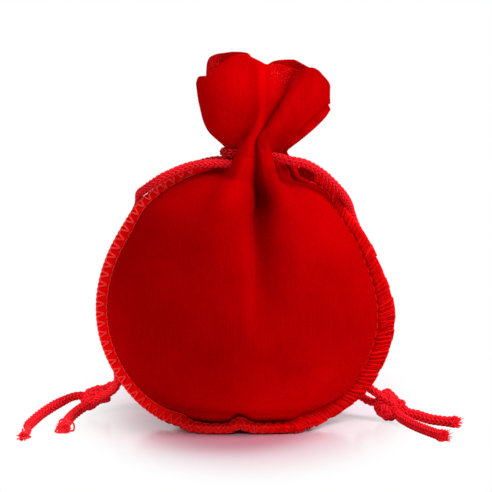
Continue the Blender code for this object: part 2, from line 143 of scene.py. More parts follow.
def loftArrays(points):
    # closed rings joined in order into quads, with a fan over each end
    rings, sides = points.shape[:2]
    i, j = np.meshgrid(np.arange(rings - 1), np.arange(sides), indexing="ij")
    k = (j + 1) % sides
    quads = np.stack([i * sides + j, i * sides + k, (i + 1) * sides + k, (i + 1) * sides + j], axis=-1)
    vertices = np.vstack([points.reshape(-1, 3), points[0].mean(axis=0), points[-1].mean(axis=0)])
    j = np.arange(sides)
    k = (j + 1) % sides
    first, last = rings * sides, rings * sides + 1
    start = np.stack([np.full(sides, first), k, j], axis=1)
    end = np.stack([np.full(sides, last), (rings - 1) * sides + j, (rings - 1) * sides + k], axis=1)
    return vertices, quads.reshape(-1, 4), np.vstack([start, end])


def joinArrays(parts):
    # several meshes as one: vertices in a row, with face indices raised by the vertices before them
    vertices, quads, triangles, count = [], [], [], 0
    for v, q, t in parts:
        vertices.append(v)
        quads.append(q + count)
        triangles.append(t + count)
        count += len(v)
    return np.vstack(vertices), np.vstack(quads), np.vstack(triangles)


def makePiece(name, arrays, material, attributes=None):
    # one finished mesh object at the origin, riding on the pouch; lengths come in millimetres
    vertices, quads, triangles = arrays
    mesh = bpy.data.meshes.new(name)
    loops = np.concatenate([quads.ravel(), triangles.ravel()]).astype(np.int32)
    sizes = np.concatenate([np.full(len(quads), 4), np.full(len(triangles), 3)])
    mesh.vertices.add(len(vertices))
    mesh.vertices.foreach_set("co", (vertices * mm).astype(np.float32).ravel())
    mesh.loops.add(len(loops))
    mesh.loops.foreach_set("vertex_index", loops)
    mesh.polygons.add(len(sizes))
    mesh.polygons.foreach_set("loop_start", np.concatenate([[0], np.cumsum(sizes)[:-1]]).astype(np.int32))
    mesh.update(calc_edges=True)
    for label, values in (attributes or {}).items():
        layer = mesh.attributes.new(label, "FLOAT", "POINT")
        layer.data.foreach_set("value", values.astype(np.float32))
    mesh.materials.append(material)
    mesh.shade_smooth()
    piece = addObject(name, mesh)
    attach(piece, "root")
    return piece


# Shader groups that several materials share


def newGroup(name, inputs, outputs):
    # empty node group with named sockets, and the nodes that its inputs and outputs hang on
    group = bpy.data.node_groups.new(name, "ShaderNodeTree")
    for label, value in inputs:
        socket = group.interface.new_socket(label, in_out="INPUT", socket_type="NodeSocketFloat")
        socket.default_value = value
    for label, kind in outputs:
        group.interface.new_socket(label, in_out="OUTPUT", socket_type=kind)
    return group, group.nodes.new("NodeGroupInput"), group.nodes.new("NodeGroupOutput")


def mathNode(tree, operation, a, b=None):
    # one Math node; a and b are numbers or sockets
    node = tree.nodes.new("ShaderNodeMath")
    node.operation = operation
    for socket, value in zip(node.inputs, (a, b)):
        if value is None:
            continue
        if isinstance(value, (int, float)):
            socket.default_value = value
        else:
            tree.links.new(value, socket)
    return node.outputs[0]


def noiseNode(tree, vector, scale, detail=3.0, roughness=0.5):
    # noise from 0 to 1; the scale is a number or a socket
    node = tree.nodes.new("ShaderNodeTexNoise")
    node.inputs["Detail"].default_value = detail
    node.inputs["Roughness"].default_value = roughness
    tree.links.new(vector, node.inputs["Vector"])
    if isinstance(scale, (int, float)):
        node.inputs["Scale"].default_value = scale
    else:
        tree.links.new(scale, node.inputs["Scale"])
    return node.outputs["Fac"]


def attributeNode(tree, name):
    # a value that the mesh carries at each point
    node = tree.nodes.new("ShaderNodeAttribute")
    node.attribute_name = name
    return node.outputs["Fac"]


def makePileGroup():
    # the velvet's pile: Height is the grain for a bump, Tone mixes broad brushed patches with fine upright
    # lines, Fleck is small bright specks, painted glints of the knit backing's sheen
    group, start, end = newGroup(
        "velvetPile", [("Grain Scale", 2600.0), ("Patch Scale", 48.0), ("Line Scale", 2200.0)],
        [("Height", "NodeSocketFloat"), ("Tone", "NodeSocketFloat"), ("Fleck", "NodeSocketFloat")])
    place = group.nodes.new("ShaderNodeTexCoord").outputs["Object"]
    grain = noiseNode(group, place, start.outputs["Grain Scale"], 2.0, 0.6)
    patch = noiseNode(group, place, start.outputs["Patch Scale"], 4.0, 0.55)
    upright = group.nodes.new("ShaderNodeMapping")
    upright.inputs["Scale"].default_value = (1.0, 1.0, 0.05)
    group.links.new(place, upright.inputs["Vector"])
    line = noiseNode(group, upright.outputs["Vector"], start.outputs["Line Scale"], 2.0, 0.5)
    broad, fine = mathNode(group, "MULTIPLY", patch, 0.72), mathNode(group, "MULTIPLY", line, 0.28)
    tone = mathNode(group, "ADD", broad, fine)
    fleck = noiseNode(group, place, mathNode(group, "MULTIPLY", start.outputs["Grain Scale"], 1.3), 1.0, 0.5)
    fleck = mathNode(group, "MULTIPLY", mathNode(group, "SUBTRACT", fleck, 0.58), 5.0)
    height = mathNode(group, "ADD", grain, mathNode(group, "MULTIPLY", line, 0.6))
    group.links.new(height, end.inputs["Height"])
    group.links.new(tone, end.inputs["Tone"])
    group.links.new(mathNode(group, "MAXIMUM", fleck, 0.0), end.inputs["Fleck"])
    return group


def makeFibreGroup():
    # fine fibres of a thread: Height for a bump and Tone for a small change of colour
    group, start, end = newGroup("threadFibres", [("Fibre Scale", 3000.0)],
                                 [("Height", "NodeSocketFloat"), ("Tone", "NodeSocketFloat")])
    place = group.nodes.new("ShaderNodeTexCoord").outputs["Object"]
    group.links.new(noiseNode(group, place, start.outputs["Fibre Scale"], 2.0, 0.6), end.inputs["Height"])
    broad = mathNode(group, "MULTIPLY", start.outputs["Fibre Scale"], 0.18)
    group.links.new(noiseNode(group, place, broad, 3.0), end.inputs["Tone"])
    return group


pileGroup = makePileGroup()
fibreGroup = makeFibreGroup()

# Materials of velvet and yarn


def startMaterial(name):
    # new material with its node tree and its Principled shader
    material = bpy.data.materials.new(name)
    material.use_nodes = True
    tree = material.node_tree
    return material, tree, tree.nodes["Principled BSDF"]


def placeGroup(tree, group, **values):
    # puts a shared group into a material; Fibre_Scale=3000.0 sets its input "Fibre Scale"
    node = tree.nodes.new("ShaderNodeGroup")
    node.node_tree = group
    for label, value in values.items():
        node.inputs[label.replace("_", " ")].default_value = value
    return node


def colourRamp(tree, value, stops):
    # colour looked up from a value, straight between (place, colour) stops
    node = tree.nodes.new("ShaderNodeValToRGB")
    tree.links.new(value, node.inputs[0])
    ramp = node.color_ramp
    while len(ramp.elements) < len(stops):
        ramp.elements.new(0.5)
    for element, (place, colour) in zip(ramp.elements, stops):
        element.position = place
        element.color = (*colour, 1)
    return node.outputs["Color"]


def mixSurface(tree, share, first, second, end):
    # the end node shows the first shader where the share is 0 and the second where it is 1
    mix = tree.nodes.new("ShaderNodeMixShader")
    for socket, value in zip(mix.inputs, (share, first, second)):
        tree.links.new(value, socket)
    tree.links.new(mix.outputs[0], end.inputs["Surface"])


def bumpFrom(tree, height, strength, distance):
    # normals tilted by a height; the distance is in metres
    node = tree.nodes.new("ShaderNodeBump")
    node.inputs["Strength"].default_value = strength
    node.inputs["Distance"].default_value = distance
    tree.links.new(height, node.inputs["Height"])
    return node.outputs["Normal"]


# colours are linear red, green and blue
velvetLook = {
    "deep": (0.30, 0.0, 0.0004), "mid": (0.37, 0.0, 0.0005), "lit": (0.44, 0.0001, 0.0006),
    "sheen": 0.12, "sheenTint": (1.0, 0.01, 0.015), "sheenRoughness": 0.5, "bump": 0.3,
    # fleck is the colour of the painted glints
    "fleck": (0.85, 0.035, 0.045),
}
edgeLook = {**velvetLook, "mid": (0.42, 0.001, 0.002), "lit": (0.50, 0.003, 0.004)}


def makeVelvet(name, look, reverse):
    # brushed pile: broad patches and fine upright lines change the red a little, times the attribute of
    # painted light and shade (with some brushed pile) on the panels; painted glints show where the "sparkle"
    # attribute is, and all over the reverse side
    material, tree, shader = startMaterial(name)
    pile = placeGroup(tree, pileGroup)
    stops = [(0.32, look["deep"]), (0.5, look["mid"]), (0.68, look["lit"])]
    base = colourRamp(tree, pile.outputs["Tone"], stops)
    share = mathNode(tree, "MAXIMUM", attributeNode(tree, "sparkle"), reverse)
    fleck = tree.nodes.new("ShaderNodeMix")
    fleck.data_type = "RGBA"
    fleck.clamp_factor = True
    fleck.inputs["B"].default_value = (*look["fleck"], 1)
    # the colour is scaled by the panel's painted light and shade, with some brushed pile
    toned = tree.nodes.new("ShaderNodeVectorMath")
    toned.operation = "SCALE"
    tree.links.new(base, toned.inputs[0])
    tree.links.new(attributeNode(tree, "paintedLightAndPile"), toned.inputs["Scale"])
    tree.links.new(mathNode(tree, "MULTIPLY", pile.outputs["Fleck"], share), fleck.inputs["Factor"])
    tree.links.new(toned.outputs["Vector"], fleck.inputs["A"])
    tree.links.new(fleck.outputs["Result"], shader.inputs["Base Color"])
    tree.links.new(bumpFrom(tree, pile.outputs["Height"], look["bump"], 0.0003), shader.inputs["Normal"])
    shader.inputs["Roughness"].default_value = 1.0
    shader.inputs["Specular IOR Level"].default_value = 0.0
    shader.inputs["Sheen Weight"].default_value = look["sheen"]
    shader.inputs["Sheen Roughness"].default_value = look["sheenRoughness"]
    shader.inputs["Sheen Tint"].default_value = (*look["sheenTint"], 1)
    return material


threadLook = {"dark": (0.36, 0.0, 0.001), "mid": (0.74, 0.002, 0.003), "bright": (1.0, 0.052, 0.046),
              "roughness": 0.55, "specular": 0.03, "sheen": 0.0, "darkUpTo": 0.2}
cordLook = {"dark": (0.18, 0.0, 0.002), "mid": (0.92, 0.008, 0.016), "bright": (1.0, 0.022, 0.04),
            "roughness": 0.45, "specular": 0.05, "sheen": 0.02, "darkUpTo": 0.34}
# a lighter copy of the cord yarn for the left cords, painted light, as their knot lies in the pouch's shadow
cordLookPaintedLight = {**cordLook, "dark": (0.30, 0.0, 0.003), "mid": (0.96, 0.010, 0.018), "bright": (1.0, 0.035, 0.05)}


def makeThread(name, look, fibreScale):
    # yarn coloured from the "strand" attribute: painted shade where it is low and painted highlight where it
    # is high, with a little fibre noise
    material, tree, shader = startMaterial(name)
    fibres = placeGroup(tree, fibreGroup, Fibre_Scale=fibreScale)
    tone = mathNode(tree, "ADD", mathNode(tree, "MULTIPLY", attributeNode(tree, "strand"), 0.8),
                    mathNode(tree, "MULTIPLY", fibres.outputs["Tone"], 0.3))
    stops = [(look["darkUpTo"], look["dark"]), (0.55, look["mid"]), (1.0, look["bright"])]
    tree.links.new(colourRamp(tree, tone, stops), shader.inputs["Base Color"])
    tree.links.new(bumpFrom(tree, fibres.outputs["Height"], 0.4, 0.0001), shader.inputs["Normal"])
    shader.inputs["Roughness"].default_value = look["roughness"]
    shader.inputs["Specular IOR Level"].default_value = look["specular"]
    shader.inputs["Specular Tint"].default_value = (1.0, 0.2, 0.25, 1)
    shader.inputs["Sheen Weight"].default_value = look["sheen"]
    shader.inputs["Sheen Tint"].default_value = (1.0, 0.05, 0.07, 1)
    return material


velvetFront = makeVelvet("velvetFront", velvetLook, 0.0)
velvetBack = makeVelvet("velvetBack", velvetLook, 0.0)
velvetReverse = makeVelvet("velvetReverse", velvetLook, 0.3)
velvetEdge = makeVelvet("velvetEdge", edgeLook, 0.2)
overlockThread = makeThread("overlockThread", threadLook, 3200.0)
cordYarn = makeThread("cordYarn", cordLook, 3600.0)
cordYarnPaintedLight = makeThread("cordYarnPaintedLight", cordLookPaintedLight, 3600.0)
print("materials made")

# Braided cords: two strands a side, each from behind the neck to its own frayed tail

# millimetres: the braid repeats every pitch in each column; its tail is fuller, its cut end flares, and a
# cord that has come undone is thin from the given length before its end
cordMake = {"diameter": 2.15, "step": 0.16, "sides": 24, "pitch": 1.22, "columns": 4, "relief": 0.36,
            "slope": 0.992, "tail": 30.0, "tailFuller": 0.2, "flare": 0.4, "flareOver": 2.5, "undone": 11.0}
frayMake = {"count": 80, "back": 0.5, "spread": 1.15, "flare": 0.8, "reach": 1.5, "curl": 0.22,
            "thick": 0.13, "thin": 0.07}
loopMake = {"small": 1.5, "large": 2.5, "along": 1.6, "thread": 0.24}
# from inside the neck, round it, along the shoulder and down behind the pouch to the knot
cordRoutes = {
    "leftFront": [(2.6, 4.1, 64.7), (4.6, 4.2, 64.5), (6.0, 3.5, 64.4), (6.8, 2.1, 64.4), (7.0, 0.0, 64.4),
                  (6.8, -2.0, 64.3), (6.0, -3.4, 64.2), (4.5, -3.9, 64.3), (2.6, -3.8, 64.6),
                  (-3.0, -3.8, 64.9), (-7.5, -3.9, 65.1), (-13.3, -4.0, 64.5), (-19.2, -4.0, 62.2),
                  (-22.2, -3.4, 60.4), (-24.5, -1.4, 58.6), (-26.0, 1.3, 57.1), (-26.6, 3.5, 53.6),
                  (-29.9, 4.0, 47.5), (-33.4, 4.2, 40.0), (-35.0, 4.4, 30.0), (-34.6, 4.6, 22.0),
                  (-32.7, 4.7, 15.0), (-31.9, 5.0, 10.6), (-32.8, 5.8, 7.7), (-35.3, 7.5, 5.6)],
    "leftBack": [(2.6, 4.1, 64.7), (-3.0, 4.2, 64.9), (-8.0, 4.8, 64.9), (-14.0, 6.2, 63.0),
                 (-19.2, 7.4, 59.8), (-23.6, 8.2, 55.2), (-27.6, 8.6, 49.0), (-30.6, 8.8, 41.0),
                 (-32.2, 8.9, 32.0), (-32.6, 8.8, 23.0), (-31.6, 8.6, 15.0), (-31.2, 8.9, 10.6),
                 (-32.6, 9.6, 8.0), (-35.2, 10.4, 6.7)],
    "rightFront": [(2.6, 4.2, 67.3), (-2.0, 4.1, 67.5), (-3.9, 3.5, 67.5), (-5.0, 1.9, 67.5),
                   (-5.4, 0.0, 67.5), (-5.0, -1.9, 67.5), (-3.9, -3.4, 67.5), (-2.0, -3.8, 67.5),
                   (1.6, -3.8, 67.3), (6.4, -4.6, 66.9), (10.4, -6.3, 66.1), (14.4, -6.0, 65.2),
                   (18.6, -4.6, 62.6), (21.9, -3.5, 59.4), (23.9, -1.9, 56.9), (25.1, 0.4, 54.6),
                   (25.8, 2.4, 52.3), (27.1, 3.8, 48.8), (29.9, 4.2, 43.0), (32.4, 4.6, 35.5),
                   (33.5, 4.9, 28.0), (33.0, 5.2, 20.0), (31.0, 5.4, 14.0), (29.5, 5.2, 10.8),
                   (30.4, 4.4, 8.4), (33.0, 2.6, 6.7)],
    "rightBack": [(2.6, 4.2, 67.3), (7.6, 4.2, 66.0), (12.0, 5.2, 63.9), (17.0, 6.6, 60.8),
                  (21.4, 7.8, 56.8), (25.0, 8.8, 51.0), (27.8, 9.2, 44.0), (29.6, 9.4, 35.0),
                  (30.4, 9.6, 26.0), (30.4, 9.4, 18.0), (29.5, 9.0, 11.0), (28.2, 8.2, 7.4),
                  (29.2, 6.9, 5.2), (32.2, 5.2, 4.1)],
}
# from the knot along the floor to the cut end
tailRoutes = {
    "leftFront": [(-42.0, 9.0, 5.0), (-46.0, 5.0, 4.4), (-50.0, -1.0, 3.0), (-52.4, -6.0, 1.7),
                  (-53.2, -10.0, 1.2), (-52.6, -14.0, 1.0), (-53.4, -19.0, 0.9)],
    "leftBack": [(-40.8, 6.6, 2.6), (-43.2, 2.0, 1.5), (-44.0, -4.0, 1.3), (-44.3, -11.0, 1.2)],
    "rightFront": [(39.6, 1.6, 2.6), (42.6, 0.4, 1.9), (45.4, -1.2, 1.3), (48.4, -3.0, 1.2),
                   (51.6, -4.8, 1.2)],
    "rightBack": [(37.9, -0.3, 2.0), (39.6, -4.6, 1.5), (42.0, -9.6, 1.2), (44.8, -15.2, 1.2),
                  (47.2, -19.6, 1.2)],
}
# where each knot lies, the way the cord travels through it, the way its face looks, and its height
knotMake = {
    "left": {"centre": (-37.9, 9.7, 4.3), "travel": (-0.8, -0.2, -0.35), "axis": (0.2, -0.9, 0.4),
             "tall": 0.66},
    "right": {"centre": (35.8, 2.8, 4.0), "travel": (0.75, -0.35, -0.5), "axis": (-0.3, -0.9, 0.3),
              "tall": 1.0},
}
# ring and twist in millimetres; open is the angle left out at each end
knotSize = {"ring": 1.8, "twist": 1.25, "flatten": 0.95, "open": 0.42}


def knotRoute(knot, lane):
    # overhand knot: twice round a ring while turning three times about it, cut open where cord comes and goes
    travel = unit(np.array(knot["travel"], float))
    axis = np.array(knot["axis"], float)
    axis = unit(axis - travel * axis.dot(travel))
    out = np.cross(axis, travel)
    t = np.linspace(knotSize["open"], 2 * math.pi - knotSize["open"], 22)
    around, twist = 2 * t, 3 * t + lane * math.pi / 4
    reach = knotSize["ring"] + knotSize["twist"] * np.cos(twist)
    ring = out * (reach * knot["tall"] * np.cos(around))[:, None] + travel * (reach * np.sin(around))[:, None]
    rise = axis * (knotSize["twist"] * np.sin(twist) * knotSize["flatten"])[:, None]
    return np.array(knot["centre"]) + ring + rise


def braidRadius(length, make, thin):
    # half the diameter, plus a relief of strands that climb and fall in each column, one pitch apart:
    # |sin(pi * (length / pitch - slope * saw))|, deepest between the columns
    angle = np.linspace(0, 1, make["sides"], endpoint=False)[None, :] * make["columns"]
    saw = np.abs((angle % 1) - 0.5) * 2
    climb = length[:, None] / make["pitch"] - make["slope"] * saw
    strand = np.abs(np.sin(math.pi * climb)) ** 0.7
    valley = np.minimum(saw, 1 - saw) * 2
    relief = strand * (0.55 + 0.45 * np.sqrt(valley))
    left = (length[-1] - length)[:, None]
    fuller = 1 + make["tailFuller"] * ease((make["tail"] - left) / 6)
    fuller = fuller + make["flare"] * ease(1 - left / make["flareOver"])
    fuller = fuller * (1 - (1 - thin) * ease((make["undone"] - left) / 3))
    return fuller * make["diameter"] / 2 * (1 - make["relief"] + make["relief"] * 1.25 * relief), relief


def frayedEnd(tip, direction, seed, thin, make):
    # loose fibres that leave the cut end all over its face and spread into a small brush: each is
    # start + direction * reach * t + (outward flare + a random curl) * t squared
    draw = np.random.default_rng(seed)
    side = unit(np.cross(direction, (0.2, 0.1, 1.0)))
    up = np.cross(side, direction)
    fibres = []
    t = np.linspace(0, 1, 6)[:, None]
    for _ in range(make["count"]):
        turn, out = draw.uniform(0, 2 * math.pi), math.sqrt(draw.uniform(0, 1))
        across = (side * math.cos(turn) + up * math.sin(turn)) * out * thin
        start = tip - direction * make["back"] + across * make["spread"]
        curl = draw.normal(0, make["curl"], 3)
        reach = make["reach"] * draw.uniform(0.5, 1.2)
        fibre = start + direction * t * reach + (across * make["flare"] + curl) * t * t
        fibre[:, 2] = np.maximum(fibre[:, 2], 0.12)
        fibres.append(tubeArrays(fibre, np.linspace(make["thick"], make["thin"], 6), 5))
    return fibres


def looseLoops(tip, direction, seed, count, make):
    # yarn pulled out of the end in small loops: tip + out * sin(pi t) + across * sin(2 pi t) / 2
    draw = np.random.default_rng(seed)
    t = np.linspace(0, 1, 22)[:, None]
    loops = []
    for _ in range(count):
        out = unit(direction * 0.5 + draw.normal(0, 0.6, 3))
        across = unit(np.cross(out, draw.normal(0, 1, 3)))
        size = draw.uniform(make["small"], make["large"])
        loop = tip - direction * draw.uniform(0, make["along"]) + out * size * np.sin(math.pi * t)
        loop = loop + across * size * 0.5 * np.sin(2 * math.pi * t)
        loop[:, 2] = np.maximum(loop[:, 2], 0.3)
        loops.append(tubeArrays(loop, np.full(22, make["thread"]), 8))
    return loops


def makeCord(name, side, route, lane, nodes, seed, yarn, loops=0, thin=1.0):
    # a braided tube along one curve, from inside the neck through the knot to the cut end; a lane of 1 or -1
    # sets the two strands of a knot beside each other
    middle = knotRoute(knotMake[side], lane)
    path = curveThrough([*cordRoutes[route], *middle, *tailRoutes[route]], cordMake["step"])
    path[:, 2] = np.maximum(path[:, 2], cordMake["diameter"] / 2 + 0.05)
    length = np.arange(len(path)) * cordMake["step"]
    radius, relief = braidRadius(length, cordMake, thin)
    direction = unit(path[-1] - path[-6])
    braid = tubeArrays(path, radius, cordMake["sides"])
    fray = frayedEnd(path[-1], direction, seed, thin, frayMake)
    arrays = joinArrays([braid, *fray, *looseLoops(path[-1], direction, seed, loops, loopMake)])
    # the braid's relief also sets its colour: painted shade in the grooves and painted highlight on the
    # crests
    strand = np.full(len(arrays[0]), 0.8)
    strand[:relief.size] = relief.ravel()
    if side == "right":
        # its turn round the left of the neck lies in the shade of the petals
        strand *= 1 - 0.4 * ease((1.5 - arrays[0][:, 0]) / 2)
    piece = makePiece(name, arrays, yarn, {"strand": strand})
    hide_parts(*nodes)
    print(name, "is", round(length[-1]), "mm long")
    return piece


# the left cords take the lighter copy of the yarn, painted light for the pouch's shadow
makeCord("leftCordFront", "left", "leftFront", 1, ("left_drawcord", "left_knot", "left_tail_long"),
         11, cordYarnPaintedLight, loops=3, thin=0.62)
makeCord("leftCordBack", "left", "leftBack", -1, ("left_tail_short",), 12, cordYarnPaintedLight, loops=9)
makeCord("rightCordFront", "right", "rightFront", 1, ("right_drawcord", "right_knot", "right_tail_long"),
         13, cordYarn)
makeCord("rightCordBack", "right", "rightBack", -1, ("right_tail_short",), 14, cordYarn)
print("cords laid")

# The two velvet panels

# the side seam: radius, lift and width of the flange at each angle, 0 straight down and 90 to the right
seamMake = {
    "centreZ": 31.0, "floor": 1.2, "forward": 9.6, "forwardFull": 14.0, "forwardNone": 46.0,
    "radius": [(-175, 33.0), (-136, 33.4), (-120, 32.3), (-105, 32.8), (-90, 33.6), (-70, 34.2),
               (-55, 34.1), (-30, 33.3), (0, 33.0), (24, 32.9), (48, 33.3), (62, 33.0), (83, 32.1),
               (96, 31.1), (110, 30.2), (124, 30.3), (135, 31.0), (145, 33.0), (170, 33.0)],
    "flange": [(-175, 1.2), (-158, 2.0), (-142, 2.0), (-132, 2.4), (-120, 3.0), (-88, 3.1), (-60, 3.0),
               (-40, 3.3), (0, 3.4), (19, 3.1), (21, 3.6), (36, 3.6), (60, 4.1), (82, 4.4), (100, 3.4),
               (118, 2.9), (131, 2.4), (146, 3.0), (158, 3.4), (170, 3.2)],
    # how far the base seam is lifted by creases, while the flange's edge stays down
    "lift": [(-175, 0), (-46, 0), (-38, 0.4), (-28, 1.4), (-23, 0.1), (-12, -0.2), (-6.5, 0.2), (-2.6, 1.9),
             (1.5, 0.6), (5, 0), (19, 0), (25, 1.5), (32, 1.5), (40, 0.8), (50, 0), (170, 0)],
    "edgeLift": 0.3,
}


def fade(value, full, none):
    # 1 within full of zero and 0 beyond none, with a smooth step between them
    return ease((none - np.abs(value)) / (none - full))


def seamPoint(angle, lifted=1.0):
    # a circle of changing radius about the middle, pushed forward and held off the floor at the base
    a = np.radians(angle)
    radius = smoothThrough(seamMake["radius"], angle)[:, 0]
    floor = seamMake["floor"]
    z = floor + np.logaddexp(0, (seamMake["centreZ"] - radius * np.cos(a) - floor) / 0.9) * 0.9
    z = z + smoothThrough(seamMake["lift"], angle)[:, 0] * lifted
    y = -seamMake["forward"] * fade(angle, seamMake["forwardFull"], seamMake["forwardNone"])
    return np.stack([radius * np.sin(a), y, z], axis=1)


def seamFrame(angle):
    # direction in which the flange leaves the seam, and the flange's front normal
    a = np.radians(angle)
    point = seamPoint(angle)
    low = seamPoint(angle, seamMake["edgeLift"])
    forward = fade(angle, seamMake["forwardFull"], seamMake["forwardNone"])[:, None]
    radial = np.stack([np.sin(a), np.zeros_like(a), -np.cos(a)], axis=1)
    flat = np.stack([0.4 * np.sin(a), -np.ones_like(a), np.zeros_like(a)], axis=1)
    outer = low + unit(radial * (1 - forward) + flat * forward) * smoothThrough(seamMake["flange"], angle)
    outer[:, 2] = np.maximum(outer[:, 2], seamMake["floor"])
    out = unit(outer - point)
    along = seamPoint(angle + 0.5) - seamPoint(angle - 0.5)
    return out, unit(np.cross(out, along))


# counts of points, millimetres and degrees of skew; places across run from -1 at the left to 1 at the right
panelMake = {
    "across": 200, "bodyRows": 150, "throatRows": 12, "ruffleRows": 62, "velvet": 0.8, "layer": 0.42,
    "skew": (4.0, -3.0), "foldAt": 0.07, "foldWidth": (0.034, 0.095),
    # place across the panel, place across the neck, depth of the pleat
    "pleats": [(-1, -1, 0), (-0.92, -0.985, 1.6), (-0.8, -0.95, 2.2), (-0.6, -0.88, 2.6), (-0.46, -0.8, 3.2),
               (-0.36, -0.72, 3.6), (-0.28, -0.63, 2.4), (-0.2, -0.53, -0.2), (-0.13, -0.4, -1.6),
               (-0.05, -0.22, -1.1), (0.02, -0.05, 0.9), (0.06, 0.04, 2.0), (0.1, 0.12, 1.0),
               (0.17, 0.27, -1.4), (0.24, 0.42, -1.4), (0.29, 0.52, -0.2), (0.35, 0.62, 3.4),
               (0.44, 0.72, 4.2), (0.6, 0.85, 3.6), (0.8, 0.94, 4.2), (0.92, 0.98, 3.4), (1, 1, 0)],
    "rise": (0.0, 0.15, 0.36, 0.68, 1.0),
    # angle along the seam and tone of the flange, partly crushed pile under the stitches and partly painted
    # light (lighter at the left, away from the key lamp) and painted shade (darker by the neck), then place
    # across and depth of the painted shade in the crease at the base
    "flangePileAndPaintedLight": [(-180, 1.6), (-140, 2.4), (-40, 2.4), (-25, 1.9), (15, 1.7), (30, 1.7), (135, 1.7),
                   (146, 1.2), (153, 0.5), (180, 0.4)],
    "paintedCreaseShade": [(-1, 0.1), (-0.8, 0.6), (-0.6, 0.97), (-0.3, 0.97), (-0.1, 0.92), (0.25, 0.95), (0.42, 0.4),
               (1, 0.1)],
    "paintedCreaseShadeHigh": 1.7, "flangeShort": 0.15, "sparkle": 0.8,
}
